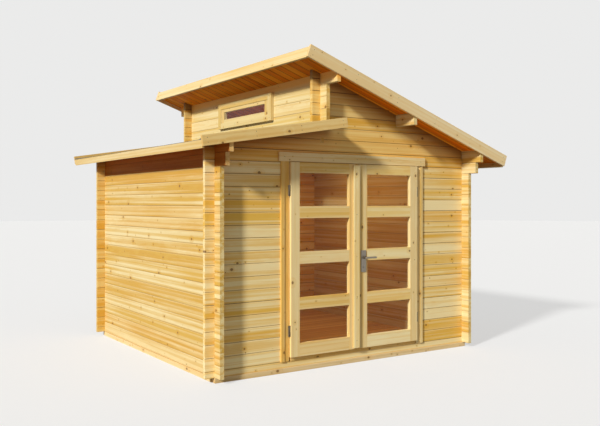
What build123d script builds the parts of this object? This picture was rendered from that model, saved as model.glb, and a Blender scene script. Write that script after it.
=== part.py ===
from build123d import *
import math
import os

# Log cabin with a low roof on the left, a tall strip of wall above it, and a roof that falls to the right.
# Sizes are in millimetres. X runs along the front to the right, Y from front to back, Z up.
# The origin is the middle of the floor plan, at ground level.

# Plan, measured over the outer faces of the walls
width = 3036
depth = 2835

# Logs
log_height = 114
wall = 40
log_bevel = 4
front_log_end = 90
side_log_end = 100
notch_gap = 0.4
seat_gap = 0.3

# Courses, counted in logs
side_courses = 18
doorway_courses = 16
gable_lower_courses = 3
upper_courses = 6
window_courses = 2
corbel_courses = 2
purlin_courses = 20

# Second log from the top of a side wall, measured from the face of the front wall
second_log_reach = 200

# Base and floor
base_height = 45
base_width = 60
base_proud = 10
joist_width = 45
joist_count = 5
floor_thickness = 19
floor_gap = 4

# Tall strip of wall between the two roofs, measured from the outer face of the left wall
tall_wall_offset = 1116
purlin_offset = 2056

# Roofs: they rest on the side walls and on the tall strip of wall, at the outer faces
upper_seat_rise = 3
lower_seat_drop = 7
tall_log_height = 109
high_overhang = 332
low_overhang = 324
eave_overhang = 257
verge_overhang = 290
deck_thickness = 19
felt_thickness = 3
trim_thickness = 20
upper_verge_height = 118
upper_verge_drop = 38
lower_verge_height = 92
lower_verge_drop = 35
lower_verge_reach = 106
high_fascia_height = 106
high_fascia_drop = 45
eave_fascia_drop = 50
ledger_width = 45
ledger_height = 60

# Double door: the leaves stand proud of the wall and swing outwards
door_centre = 23
doorway_width = 1552
leaf_thickness = 40
leaf_proud = 34
leaf_gap = 5
meeting_gap = 8
meeting_offset = 15
stile_width = 96
strip_stile_extra = 20
sill_height = 31
bottom_rail = 123
middle_rail = 112
top_rail = 97
pane_count = 4
glass_thickness = 4
glass_bite = 7
glass_play = 0.3
tenon_length = 30
tenon_thickness = 14
tenon_shoulder = 15
strip_width = 76
strip_thickness = 20
strip_margin = 12

# Door frame: each jamb is grooved over the log ends and rebated behind the leaf
jamb_face = 90
jamb_recess = 8
jamb_depth = 62
lip_width = 38
lip_proud = 15
stop_width = 15
stop_gap = 5
frame_rise = 9
head_thickness = 15
head_lip_height = 36
head_board_height = 85
head_board_proud = 23
head_board_overhang = 26

# Lift-off hinges: a knuckle with a pin on the frame, and a bored knuckle on the leaf above it
hinge_height = 100
hinge_above_bottom = 240
hinge_below_top = 262
hinge_inset = 12
knuckle_radius = 6.6
knuckle_clearance = 1.4
pin_radius = 3
pin_play = 0.15
pin_length = 36
knuckle_gap = 0.3
flap_thickness = 2
flap_depth = 22
flap_play = 0.25

# Door furniture
plate_width = 60
plate_height = 212
plate_thickness = 6
plate_corner = 6
spindle_height = 1020
spindle_side = 8
spindle_play = 3
collar_radius = 12
collar_play = 0.4
collar_proud = 8
neck_length = 42
lever_length = 128
lever_height = 18
lever_thickness = 14
lever_bend = 13
lever_bevel = 2.5
lock_drop = 93
plate_drop = 34
lock_radius = 9
lock_play = 0.3
lock_proud = 3
key_slot_width = 2
key_slot_height = 9

# Window that does not open, in the tall strip of wall
window_width = 1110
casing_overlap = 30
casing_member = 65
casing_proud = 38
sash_side = 69
sash_rail = 37
sash_depth = 40
sash_recess = 6
window_glass_bite = 5
window_glass_depth = 8

# Places worked out from the sizes above
x_left = -width / 2
x_right = width / 2
y_front = -depth / 2
y_back = depth / 2
tall_x = x_left + tall_wall_offset
purlin_x = x_left + purlin_offset
quarter = log_height / 4
front_start = base_height + log_height / 2
doorway_top = front_start + doorway_courses * log_height
gable_seam = doorway_top + gable_lower_courses * log_height
tall_wall_start = base_height + side_courses * log_height
window_low = tall_wall_start + (upper_courses - window_courses - 1) * log_height
window_high = window_low + window_courses * log_height
corbel_start = tall_wall_start - corbel_courses * log_height
second_log_top = tall_wall_start - log_height
tall_wall_top = tall_wall_start + upper_courses * log_height
end_log_start = base_height + purlin_courses * log_height
floor_top = base_height + floor_thickness

upper_seat = tall_wall_start + upper_seat_rise
lower_seat = tall_wall_start - lower_seat_drop
tall_seat = window_high + tall_log_height
upper_angle = math.atan((tall_seat - upper_seat) / (width - tall_wall_offset))
lower_angle = math.atan((gable_seam - lower_seat) / tall_wall_offset)
roof_y_front = y_front - verge_overhang + trim_thickness + seat_gap
roof_y_back = y_back + verge_overhang - trim_thickness - seat_gap

door_left = door_centre - doorway_width / 2
door_right = door_centre + doorway_width / 2
meeting_x = door_centre + meeting_offset
leaf_front = y_front - leaf_proud
leaf_back = leaf_front + leaf_thickness
glass_y = (leaf_front + leaf_back) / 2
jamb_left = door_left - leaf_gap
jamb_right = door_right + leaf_gap
jamb_front = y_front - jamb_recess
hinge_y = jamb_front - knuckle_clearance - knuckle_radius
sill_top = front_start + sill_height
frame_top = doorway_top + frame_rise
head_jamb_top = frame_top + head_thickness + seat_gap
leaf_bottom = sill_top + leaf_gap
leaf_top = frame_top - leaf_gap
rail_heights = bottom_rail + (pane_count - 1) * middle_rail + top_rail
pane_height = (leaf_top - leaf_bottom - rail_heights) / pane_count
pane_pitch = pane_height + middle_rail
spindle_x = meeting_x + meeting_gap / 2 + stile_width / 2
spindle_swing = math.hypot(spindle_side, spindle_side) / 2
lock_height = spindle_height - lock_drop
plate_middle = spindle_height - plate_drop


def upper_under(x):
    """Height of the underside of the upper roof boards."""
    return upper_seat + math.tan(upper_angle) * (x_right - x)


def lower_under(x):
    """Height of the underside of the lower roof boards."""
    return lower_seat + math.tan(lower_angle) * (x - x_left)


def on_upper(x, rise):
    """Point that stands square off the upper roof's underside at x."""
    return (x + rise * math.sin(upper_angle), upper_under(x) + rise * math.cos(upper_angle))


def on_lower(x, rise):
    """Point that stands square off the lower roof's underside at x."""
    return (x - rise * math.sin(lower_angle), lower_under(x) + rise * math.cos(lower_angle))


def slope_board(place, start, end, low, high):
    """Outline in X and Z of a board along a roof, cut square at both ends."""
    return [place(start, low), place(end, low), place(end, high), place(start, high)]


def front_plane(y):
    """Plane drawn in X and Z. An extrude by a negative amount goes to the back."""
    return Plane(origin=(0, y, 0), x_dir=(1, 0, 0), z_dir=(0, -1, 0))


def side_plane(x):
    """Plane drawn in Y and Z. An extrude goes to the right."""
    return Plane(origin=(x, 0, 0), x_dir=(0, 1, 0), z_dir=(1, 0, 0))


def run(plane, points, amount, mode):
    """Extrude a closed outline that is drawn on a plane."""
    with BuildSketch(plane) as shape:
        with BuildLine():
            Polyline(*points, close=True)
        make_face()
    extrude(shape.sketch, amount=amount, mode=mode)


def back_run(points, start, end, mode=Mode.ADD):
    """Extrude an outline in X and Z from one Y to another."""
    run(front_plane(start), points, start - end, mode)


def right_run(points, start, end, mode=Mode.ADD):
    """Extrude an outline in Y and Z from one X to another."""
    run(side_plane(start), points, end - start, mode)


def up_run(points, start, end, mode=Mode.ADD):
    """Extrude an outline in X and Y from one Z to another."""
    run(Plane.XY.offset(start), points, end - start, mode)


def upright_rod(x, y, radius, low, high, mode=Mode.ADD):
    """Round rod that stands on end."""
    with BuildSketch(Plane.XY.offset(low)) as disc:
        with Locations((x, y)):
            Circle(radius)
    extrude(disc.sketch, amount=high - low, mode=mode)


def back_rod(x, z, radius, start, end, mode=Mode.ADD):
    """Round rod that runs from front to back."""
    with BuildSketch(front_plane(start)) as disc:
        with Locations((x, z)):
            Circle(radius)
    extrude(disc.sketch, amount=start - end, mode=mode)


def bar(x, y, z, mode=Mode.ADD):
    """Squared timber between two limits on each axis."""
    with Locations(((x[0] + x[1]) / 2, (y[0] + y[1]) / 2, (z[0] + z[1]) / 2)):
        Box(x[1] - x[0], y[1] - y[0], z[1] - z[0], mode=mode)


def courses(start, count):
    """Heights of the edges of a number of logs on top of each other."""
    return [start + n * log_height for n in range(count + 1)]


def log_section(near, edges, plain_back=False):
    """Section through a stack of logs, each with its long edges bevelled, on both sides or on the near one."""
    outline = [(near + log_bevel, edges[0])]
    for low, high in zip(edges, edges[1:]):
        outline += [(near, low + log_bevel), (near, high - log_bevel), (near + log_bevel, high)]
    if plain_back:
        return outline + [(near + wall, edges[-1]), (near + wall, edges[0])]
    return outline + [(2 * near + wall - t, z) for t, z in reversed(outline)]


def notch(x, y, middles):
    """Clear the space that crossing logs pass through, in one cut."""
    size_x = x[1] - x[0] + 2 * notch_gap
    size_y = y[1] - y[0] + 2 * notch_gap
    places = [((x[0] + x[1]) / 2, (y[0] + y[1]) / 2, z) for z in middles]
    with Locations(*places):
        Box(size_x, size_y, 2 * quarter + 2 * notch_gap, mode=Mode.SUBTRACT)


def side_necks(low, high):
    """Middle heights of the necks of the side logs between two heights."""
    count = side_courses + upper_courses
    middles = [base_height + (n + 0.5) * log_height for n in range(count)]
    return [z for z in middles if low - quarter < z < high + quarter]


def front_necks(low, high):
    """Middle heights of the necks of the front and back logs between two heights."""
    count = side_courses + upper_courses + 1
    middles = [base_height + n * log_height for n in range(count)]
    return [z for z in middles if low - quarter < z < high + quarter]


left_zone = (x_left, x_left + wall)
right_zone = (x_right - wall, x_right)
tall_zone = (tall_x, tall_x + wall)
purlin_zone = (purlin_x, purlin_x + wall)
front_zone = (y_front, y_front + wall)
back_zone = (y_back - wall, y_back)


def trim_to_roof(zone_x, y_ends, under):
    """Bevel the top of a log that runs from front to back to the slope of the boards on it."""
    start = zone_x[0] - wall
    end = zone_x[1] + wall
    back_run([(start, 0), (end, 0), (end, under(end)), (start, under(start))], *y_ends, mode=Mode.INTERSECT)


def cross_logs(zone_y, low, high, zones):
    """Notch a front or back wall where the logs of the given side walls pass."""
    for zone_x in zones:
        notch(zone_x, zone_y, side_necks(low, high))


def cross_side_logs(zone_x, low, high):
    """Notch a wall that runs from front to back where the front and back logs pass."""
    for zone_y in (front_zone, back_zone):
        notch(zone_x, zone_y, front_necks(low, high))


# Base and floor

with BuildPart() as base_beams:
    for y in ((y_front - base_proud, y_front - base_proud + base_width),
              (y_back + base_proud - base_width, y_back + base_proud)):
        bar((x_left, x_right), y, (0, base_height))
    side_y = (y_front - base_proud + base_width + seat_gap, y_back + base_proud - base_width - seat_gap)
    for x in ((x_left - base_proud, x_left - base_proud + base_width),
              (x_right + base_proud - base_width, x_right + base_proud)):
        bar(x, side_y, (0, base_height))

joist_room = width - 2 * (base_width - base_proud)
joist_step = joist_room / (joist_count + 1)
with BuildPart() as floor_joists:
    for n in range(joist_count):
        middle = (n - (joist_count - 1) / 2) * joist_step
        bar((middle - joist_width / 2, middle + joist_width / 2), side_y, (0, base_height))

with BuildPart() as floor_boards:
    bar((x_left + wall + floor_gap, x_right - wall - floor_gap),
        (y_front + wall + floor_gap, y_back - wall - floor_gap),
        (base_height, floor_top))

# Front wall

front_x = (x_left - front_log_end, x_right + front_log_end)
both_side_walls = (left_zone, right_zone)

with BuildPart() as front_sill_log:
    right_run(log_section(y_front, [base_height, front_start]), *front_x)
    cross_logs(front_zone, base_height, front_start, both_side_walls)

lip_left = jamb_left - jamb_face
lip_right = jamb_right + jamb_face
log_stop_left = lip_left + lip_width - seat_gap
log_stop_right = lip_right - lip_width + seat_gap
doorway_section = log_section(y_front, courses(front_start, doorway_courses), plain_back=True)

with BuildPart() as front_wall_left:
    right_run(doorway_section, front_x[0], log_stop_left)
    cross_logs(front_zone, front_start, doorway_top, [left_zone])

with BuildPart() as front_wall_right:
    right_run(doorway_section, log_stop_right, front_x[1])
    cross_logs(front_zone, front_start, doorway_top, [right_zone])

# Gables: the roof planes cut the tops of the logs

x_upper_seam = x_right - (gable_seam - upper_seat) / math.tan(upper_angle)
lower_gable_shape = [
    (front_x[0], 0),
    (front_x[1], 0),
    (front_x[1], upper_under(front_x[1])),
    (x_upper_seam, gable_seam),
    (tall_x, gable_seam),
    (front_x[0], lower_under(front_x[0])),
]
tall_log_end_x = tall_x - front_log_end
upper_gable_shape = [
    (tall_x, gable_seam),
    (x_upper_seam, gable_seam),
    (tall_log_end_x, upper_under(tall_log_end_x)),
    (tall_log_end_x, lower_under(tall_log_end_x) + (deck_thickness + felt_thickness) / math.cos(lower_angle)
     + seat_gap),
    (tall_x, gable_seam + (deck_thickness + felt_thickness) / math.cos(lower_angle) + seat_gap),
]
gable_upper_courses = math.ceil((upper_under(tall_log_end_x) - gable_seam) / log_height)

with BuildPart() as front_gable_lower:
    right_run(log_section(y_front, courses(doorway_top, gable_lower_courses)), *front_x)
    back_run(lower_gable_shape, y_front, y_front + wall, mode=Mode.INTERSECT)
    cross_logs(front_zone, doorway_top, gable_seam, both_side_walls)
    cross_logs(front_zone, tall_wall_start, gable_seam, [tall_zone])
    bar((log_stop_left, log_stop_right), front_zone, (doorway_top, head_jamb_top), mode=Mode.SUBTRACT)


def upper_gable(zone_y):
    """Logs above the seam, with the purlin let in at its middle."""
    right_run(log_section(zone_y[0], courses(gable_seam, gable_upper_courses)), tall_log_end_x, x_upper_seam)
    back_run(upper_gable_shape, *zone_y, mode=Mode.INTERSECT)
    cross_logs(zone_y, gable_seam, tall_wall_top, [tall_zone])
    cross_logs(zone_y, end_log_start, end_log_start + log_height, [purlin_zone])


with BuildPart() as front_gable_upper:
    upper_gable(front_zone)

with BuildPart() as back_gable_upper:
    upper_gable(back_zone)

# Back wall

back_edges = [base_height] + courses(front_start, doorway_courses + gable_lower_courses)
with BuildPart() as back_wall:
    right_run(log_section(y_back - wall, back_edges), *front_x)
    back_run(lower_gable_shape, *back_zone, mode=Mode.INTERSECT)
    cross_logs(back_zone, base_height, gable_seam, both_side_walls)
    cross_logs(back_zone, tall_wall_start, gable_seam, [tall_zone])

# Side walls

side_y_ends = (y_front - side_log_end, y_back + side_log_end)
second_y_ends = (y_front - second_log_reach, y_back + second_log_reach)
top_y_ends = (roof_y_front, roof_y_back)
wall_section_courses = side_courses - corbel_courses


def side_wall(zone_x):
    """Full stack of side logs below the two that carry the roof overhang."""
    back_run(log_section(zone_x[0], courses(base_height, wall_section_courses)), *side_y_ends)
    cross_side_logs(zone_x, base_height, corbel_start)


def side_top_logs(zone_x, under):
    """Two longer logs, one above the other, the upper one bevelled to the roof."""
    top = max(under(zone_x[0]), under(zone_x[1]))
    back_run(log_section(zone_x[0], [corbel_start, second_log_top]), *second_y_ends)
    back_run(log_section(zone_x[0], [second_log_top, top + log_bevel]), *top_y_ends)
    trim_to_roof(zone_x, top_y_ends, under)
    cross_side_logs(zone_x, corbel_start, top)


with BuildPart() as left_wall:
    side_wall(left_zone)

with BuildPart() as right_wall:
    side_wall(right_zone)

with BuildPart() as left_wall_top_logs:
    side_top_logs(left_zone, lower_under)

with BuildPart() as right_wall_top_logs:
    side_top_logs(right_zone, upper_under)

# Tall strip of wall between the roofs, with the window cut through it

flush_courses = purlin_courses - side_courses

with BuildPart() as tall_wall_lower:
    back_run(log_section(tall_x, courses(tall_wall_start, flush_courses)), y_front, y_back)
    back_run(log_section(tall_x, [end_log_start, window_low]), *side_y_ends)
    cross_side_logs(tall_zone, tall_wall_start, window_low)

with BuildPart() as tall_wall_sides:
    window_section = log_section(tall_x, courses(window_low, window_courses))
    back_run(window_section, side_y_ends[0], -window_width / 2)
    back_run(window_section, window_width / 2, side_y_ends[1])
    cross_side_logs(tall_zone, window_low, window_high)

with BuildPart() as tall_wall_top_log:
    back_run(log_section(tall_x, [window_high, tall_seat + log_bevel]), *top_y_ends)
    trim_to_roof(tall_zone, top_y_ends, upper_under)
    cross_side_logs(tall_zone, window_high, tall_seat)

with BuildPart() as middle_purlin:
    purlin_top = upper_under(purlin_x)
    back_run(log_section(purlin_x, [end_log_start, purlin_top + log_bevel]), *top_y_ends)
    trim_to_roof(purlin_zone, top_y_ends, upper_under)
    cross_side_logs(purlin_zone, end_log_start, purlin_top)

with BuildPart() as lower_roof_ledger:
    ledger_x = tall_x - ledger_width
    ledger_low = lower_under(ledger_x) - ledger_height
    back_run([(ledger_x, ledger_low), (tall_x, ledger_low), (tall_x, lower_under(tall_x)),
              (ledger_x, lower_under(ledger_x))],
             y_front + wall + seat_gap, y_back - wall - seat_gap)

# Roof boards, felt and trim

upper_high_x = tall_x - high_overhang
upper_low_x = x_right + low_overhang
lower_low_x = x_left - eave_overhang
upper_deck_x = upper_high_x + (trim_thickness + seat_gap) * math.cos(upper_angle)
upper_deck_end = upper_low_x - (trim_thickness + seat_gap) * math.cos(upper_angle)
lower_deck_x = lower_low_x + (trim_thickness + seat_gap) * math.cos(lower_angle)
lower_deck_end = tall_x - seat_gap
felt_top = deck_thickness + felt_thickness


def lower_layer(start, low, high):
    """Outline of a layer of the lower roof, cut upright where it meets the tall strip of wall."""
    edge = lower_under(lower_deck_end)
    return [on_lower(start, low), (lower_deck_end, edge + low / math.cos(lower_angle)),
            (lower_deck_end, edge + high / math.cos(lower_angle)), on_lower(start, high)]


with BuildPart() as upper_roof_deck:
    back_run(slope_board(on_upper, upper_deck_x, upper_deck_end, 0, deck_thickness), roof_y_front, roof_y_back)

with BuildPart() as lower_roof_deck:
    back_run(lower_layer(lower_deck_x, 0, deck_thickness), roof_y_front, roof_y_back)

with BuildPart() as upper_roof_felt:
    back_run(slope_board(on_upper, upper_deck_x, upper_low_x, deck_thickness, felt_top),
             roof_y_front, roof_y_back)

with BuildPart() as lower_roof_felt:
    back_run(lower_layer(lower_low_x, deck_thickness, felt_top), roof_y_front, roof_y_back)

verge_y = ((y_front - verge_overhang, y_front - verge_overhang + trim_thickness),
           (y_back + verge_overhang - trim_thickness, y_back + verge_overhang))

with BuildPart() as upper_verge_boards:
    shape = slope_board(on_upper, upper_high_x, upper_low_x,
                        -upper_verge_drop, upper_verge_height - upper_verge_drop)
    for start, end in verge_y:
        back_run(shape, start, end)

with BuildPart() as lower_verge_boards:
    shape = slope_board(on_lower, lower_low_x, tall_x + lower_verge_reach,
                        -lower_verge_drop, lower_verge_height - lower_verge_drop)
    for start, end in verge_y:
        back_run(shape, start, end)

with BuildPart() as fascia_boards:
    fascia_run = trim_thickness * math.cos(upper_angle)
    back_run(slope_board(on_upper, upper_high_x, upper_high_x + fascia_run,
                         -high_fascia_drop, high_fascia_height - high_fascia_drop),
             roof_y_front, roof_y_back)
    back_run(slope_board(on_upper, upper_low_x - fascia_run, upper_low_x,
                         -eave_fascia_drop, deck_thickness - seat_gap),
             roof_y_front, roof_y_back)
    back_run(slope_board(on_lower, lower_low_x, lower_low_x + trim_thickness * math.cos(lower_angle),
                         -eave_fascia_drop, deck_thickness - seat_gap),
             roof_y_front, roof_y_back)

# Door frame

rebate_y = leaf_back + stop_gap
jamb_back = y_front + jamb_depth
lip_front = y_front - lip_proud
groove = (y_front - seat_gap, y_front + wall + seat_gap)


def jamb_outline(opening, away):
    """Plan of a jamb. Away is -1 for the left jamb and +1 for the right one."""
    lip = opening + away * jamb_face
    bottom_of_groove = lip - away * lip_width
    stop = opening - away * stop_width
    return [(lip, groove[0]), (lip, lip_front), (bottom_of_groove, lip_front), (bottom_of_groove, jamb_front),
            (opening, jamb_front), (opening, rebate_y), (stop, rebate_y), (stop, jamb_back),
            (lip, jamb_back), (lip, groove[1]), (bottom_of_groove, groove[1]), (bottom_of_groove, groove[0])]


with BuildPart() as door_frame:
    up_run(jamb_outline(jamb_left, -1), front_start, frame_top)
    up_run(jamb_outline(jamb_right, 1), front_start, frame_top)
    stop_z = frame_top - stop_width
    right_run([(y_front, frame_top + seat_gap), (jamb_back, frame_top + seat_gap),
               (jamb_back, frame_top + head_lip_height), (groove[1], frame_top + head_lip_height),
               (groove[1], frame_top + head_thickness), (y_front, frame_top + head_thickness)],
              log_stop_left + seat_gap, log_stop_right - seat_gap)
    right_run([(rebate_y, stop_z), (jamb_back, stop_z), (jamb_back, frame_top - seat_gap),
               (rebate_y, frame_top - seat_gap)],
              jamb_left + stop_width + seat_gap, jamb_right - stop_width - seat_gap)
    right_run([(jamb_front, front_start), (jamb_back, front_start), (jamb_back, sill_top + stop_width),
               (rebate_y, sill_top + stop_width), (rebate_y, sill_top), (jamb_front, sill_top)],
              jamb_left + stop_width + seat_gap, jamb_right - stop_width - seat_gap)

with BuildPart() as door_head_board:
    bar((lip_left - head_board_overhang, lip_right + head_board_overhang),
        (y_front - head_board_proud, y_front - seat_gap),
        (frame_top, frame_top + head_board_height))

# Door leaves

pane_sills = [leaf_bottom + bottom_rail + n * pane_pitch for n in range(pane_count)]
rail_edges = [leaf_bottom]
for sill in pane_sills:
    rail_edges += [sill, sill + pane_height]
rail_edges.append(leaf_top)
rails = list(zip(rail_edges[0::2], rail_edges[1::2]))
leaf_y = (leaf_front, leaf_back)


def glass_groove_y():
    """Front and back of the slot that holds the glass."""
    half = glass_thickness / 2 + glass_play
    return (glass_y - half, glass_y + half)


def tenon(x, z, play, mode=Mode.ADD):
    """Tenon at the end of a rail, or with some play the mortise that takes it."""
    half = tenon_thickness / 2 + play
    low = z[0] + tenon_shoulder - play
    high = z[1] - tenon_shoulder + play
    bar(x, (glass_y - half, glass_y + half), (low, high), mode=mode)


def leaf_stiles(outer, inner):
    """Two uprights, mortised for the rails and slotted for the glass."""
    for x in (outer, inner):
        bar(x, leaf_y, (leaf_bottom, leaf_top))
    slot = glass_bite + glass_play
    for z in rails:
        tenon((outer[1] - tenon_length - seat_gap, outer[1]), z, glass_play, mode=Mode.SUBTRACT)
        tenon((inner[0], inner[0] + tenon_length + seat_gap), z, glass_play, mode=Mode.SUBTRACT)
    for sill in pane_sills:
        z = (sill - slot, sill + pane_height + slot)
        bar((outer[1] - slot, inner[0] + slot), glass_groove_y(), z, mode=Mode.SUBTRACT)


def leaf_rails(outer, inner):
    """Cross members with a tenon at each end and a slot for the glass."""
    x = (outer[1] + seat_gap / 2, inner[0] - seat_gap / 2)
    for z in rails:
        bar(x, leaf_y, z)
        tenon((x[0] - tenon_length, x[1] + tenon_length), z, 0)
    slot = glass_bite + glass_play
    for sill in pane_sills:
        bar((x[0] - seat_gap, x[1] + seat_gap), glass_groove_y(), (sill - slot, sill + pane_height + slot),
            mode=Mode.SUBTRACT)


def leaf_panes(outer, inner):
    """Panes that reach into the slots."""
    x = (outer[1] - glass_bite, inner[0] + glass_bite)
    y = (glass_y - glass_thickness / 2, glass_y + glass_thickness / 2)
    for sill in pane_sills:
        bar(x, y, (sill - glass_bite, sill + pane_height + glass_bite))


left_edge = meeting_x - meeting_gap / 2
right_edge = meeting_x + meeting_gap / 2
left_leaf_uprights = ((door_left, door_left + stile_width),
                      (left_edge - stile_width - strip_stile_extra, left_edge))
right_leaf_uprights = ((right_edge, right_edge + stile_width), (door_right - stile_width, door_right))


hinge_middles = (leaf_bottom + hinge_above_bottom, leaf_top - hinge_below_top)
flap_end = leaf_front + flap_depth + knuckle_radius


def hinge_side_recess(edge, away):
    """Housing in the edge of a stile that takes the hinge flaps."""
    for middle in hinge_middles:
        bar(sorted((edge, edge - away * flap_thickness)), (leaf_front, flap_end + seat_gap),
            (middle - hinge_height / 2 - seat_gap, middle + hinge_height / 2 + seat_gap), mode=Mode.SUBTRACT)


with BuildPart() as left_leaf_stiles:
    leaf_stiles(*left_leaf_uprights)
    hinge_side_recess(door_left, -1)

with BuildPart() as left_leaf_rails:
    leaf_rails(*left_leaf_uprights)

with BuildPart() as left_leaf_glass:
    leaf_panes(*left_leaf_uprights)

with BuildPart() as right_leaf_stiles:
    leaf_stiles(*right_leaf_uprights)
    hinge_side_recess(door_right, 1)
    with BuildSketch(front_plane(leaf_front)):
        with Locations((spindle_x, spindle_height)):
            Rectangle(2 * (spindle_swing + spindle_play), 2 * (spindle_swing + spindle_play))
        with Locations((spindle_x, lock_height)):
            Rectangle(2 * (lock_radius + lock_play), 2 * (lock_radius + lock_play))
    extrude(amount=-leaf_thickness, mode=Mode.SUBTRACT)

with BuildPart() as right_leaf_rails:
    leaf_rails(*right_leaf_uprights)

with BuildPart() as right_leaf_glass:
    leaf_panes(*right_leaf_uprights)

with BuildPart() as left_leaf_cover_strip:
    bar((left_edge - strip_width, left_edge), (leaf_front - strip_thickness, leaf_front),
        (leaf_bottom + strip_margin, leaf_top - strip_margin))
    front_edges = left_leaf_cover_strip.faces().sort_by(Axis.Y)[0].edges().filter_by(Axis.Z)
    chamfer(front_edges, log_bevel)

# Hinges


def frame_hinge(x, away, middle):
    """Flap on the jamb, and the lower knuckle with the pin that stands in it."""
    low = middle - hinge_height / 2
    joint = middle - knuckle_gap / 2
    opening = x - away * (hinge_inset - leaf_gap)
    inner_face = opening - away * flap_thickness
    flap_start = hinge_y + knuckle_radius + 2 * knuckle_gap
    upright_rod(x, hinge_y, knuckle_radius, low, joint)
    upright_rod(x, hinge_y, pin_radius, joint, joint + pin_length)
    bar(sorted((x, inner_face)), (hinge_y, hinge_y + 2 * flap_thickness), (low, joint))
    bar(sorted((opening, inner_face)), (hinge_y, flap_start), (low, joint))
    bar(sorted((opening, inner_face)), (flap_start, leaf_back), (low, low + hinge_height))


def leaf_hinge(x, away, middle):
    """Flap in the edge of the leaf, and the upper knuckle, bored from below for the pin."""
    high = middle + hinge_height / 2
    joint = middle + knuckle_gap / 2
    edge = x - away * hinge_inset
    knuckle_front = hinge_y - knuckle_radius
    upright_rod(x, hinge_y, knuckle_radius, joint, high)
    bar(sorted((x, edge)), (knuckle_front, knuckle_front + 2 * flap_thickness), (joint, high))
    bar(sorted((edge, edge - away * (flap_thickness - flap_play))), (knuckle_front, flap_end),
        (high - hinge_height, high))
    upright_rod(x, hinge_y, pin_radius + pin_play, joint, joint + pin_length, mode=Mode.SUBTRACT)


left_axis_x = door_left - hinge_inset
right_axis_x = door_right + hinge_inset

with BuildPart() as frame_hinges:
    for middle in hinge_middles:
        frame_hinge(left_axis_x, -1, middle)
        frame_hinge(right_axis_x, 1, middle)

with BuildPart() as left_leaf_hinges:
    for middle in hinge_middles:
        leaf_hinge(left_axis_x, -1, middle)

with BuildPart() as right_leaf_hinges:
    for middle in hinge_middles:
        leaf_hinge(right_axis_x, 1, middle)

# Handle and lock on the right leaf

plate_faces = ((leaf_front - plate_thickness, leaf_front), (leaf_back, leaf_back + plate_thickness))

with BuildPart() as handle_plates:
    for start, end in plate_faces:
        with BuildSketch(front_plane(start)) as plate:
            with Locations((spindle_x, plate_middle)):
                Rectangle(plate_width, plate_height)
            chamfer(plate.vertices(), plate_corner)
            with Locations((spindle_x, spindle_height)):
                Circle(collar_radius + collar_play, mode=Mode.SUBTRACT)
            with Locations((spindle_x, lock_height)):
                Circle(lock_radius + lock_play, mode=Mode.SUBTRACT)
        extrude(amount=start - end)


def lever(face_y, away):
    """Round collar that turns in the plate, and a flat lever bent to run along the leaf."""
    start_y = face_y + away * (plate_thickness / 2 + collar_proud)
    grip_y = face_y + away * neck_length
    inner_y = grip_y - away * lever_thickness / 2
    outer_y = grip_y + away * lever_thickness / 2
    neck_x = (spindle_x - lever_thickness / 2, spindle_x + lever_thickness / 2)
    tip_x = spindle_x + lever_length
    back_rod(spindle_x, spindle_height, collar_radius, *sorted((face_y, start_y)))
    with BuildSketch(Plane.XY.offset(spindle_height - lever_height / 2)) as plan:
        with BuildLine():
            Polyline((neck_x[0], start_y), (neck_x[1], start_y), (neck_x[1], inner_y), (tip_x, inner_y),
                     (tip_x, outer_y), (neck_x[0], outer_y), close=True)
        make_face()
        corners = plan.vertices()
        fillet(corners.sort_by_distance((neck_x[0], outer_y, 0))[0], lever_bend)
        fillet(corners.sort_by_distance((tip_x, outer_y, 0))[0], lever_thickness / 3)
    extrude(plan.sketch, amount=lever_height)


with BuildPart() as lever_handle:
    lever(leaf_front - plate_thickness / 2, -1)
    lever(leaf_back + plate_thickness / 2, 1)
    bar((spindle_x - spindle_side / 2, spindle_x + spindle_side / 2),
        (leaf_front - plate_thickness, leaf_back + plate_thickness),
        (spindle_height - spindle_side / 2, spindle_height + spindle_side / 2))
    grip_faces = lever_handle.faces().filter_by(Axis.Z).group_by(Axis.Z)
    collar_ends = (leaf_front - plate_thickness - collar_proud, leaf_back + plate_thickness + collar_proud)
    rims = [edge for edge in grip_faces[0].edges() + grip_faces[-1].edges()
            if min(abs(edge.center().Y - y) for y in collar_ends) > seat_gap]
    chamfer(rims, lever_bevel)

with BuildPart() as lock_cylinder:
    lock_front = leaf_front - plate_thickness - lock_proud
    lock_length = leaf_thickness + 2 * plate_thickness + 2 * lock_proud
    with BuildSketch(front_plane(lock_front)):
        with Locations((spindle_x, lock_height)):
            Circle(lock_radius)
    extrude(amount=-lock_length)
    for start in (lock_front, lock_front + lock_length - lock_proud):
        with BuildSketch(front_plane(start)):
            with Locations((spindle_x, lock_height)):
                Rectangle(key_slot_width, key_slot_height)
        extrude(amount=-lock_proud, mode=Mode.SUBTRACT)

# Window in the tall strip of wall

window_z = (window_low + window_high) / 2
casing_half_y = window_width / 2 + casing_overlap
casing_half_z = (window_high - window_low) / 2 + casing_overlap
sash_half_y = casing_half_y - casing_member - seat_gap
sash_half_z = casing_half_z - casing_member - seat_gap


def window_ring(x, half_y, half_z, member_y, member_z):
    """Two uprights with two cross pieces between them, around the middle of the window."""
    for side in (-1, 1):
        bar(x, sorted((side * half_y, side * (half_y - member_y))), (window_z - half_z, window_z + half_z))
        bar(x, (-half_y + member_y + seat_gap, half_y - member_y - seat_gap),
            sorted((window_z + side * half_z, window_z + side * (half_z - member_z))))


with BuildPart() as window_casing:
    window_ring((tall_x - casing_proud, tall_x), casing_half_y, casing_half_z, casing_member, casing_member)

sash_x = (tall_x - casing_proud + sash_recess, tall_x - casing_proud + sash_recess + sash_depth)
pane_x = sash_x[0] + window_glass_depth
pane_half_y = sash_half_y - sash_side + window_glass_bite
pane_half_z = sash_half_z - sash_rail + window_glass_bite

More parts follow.
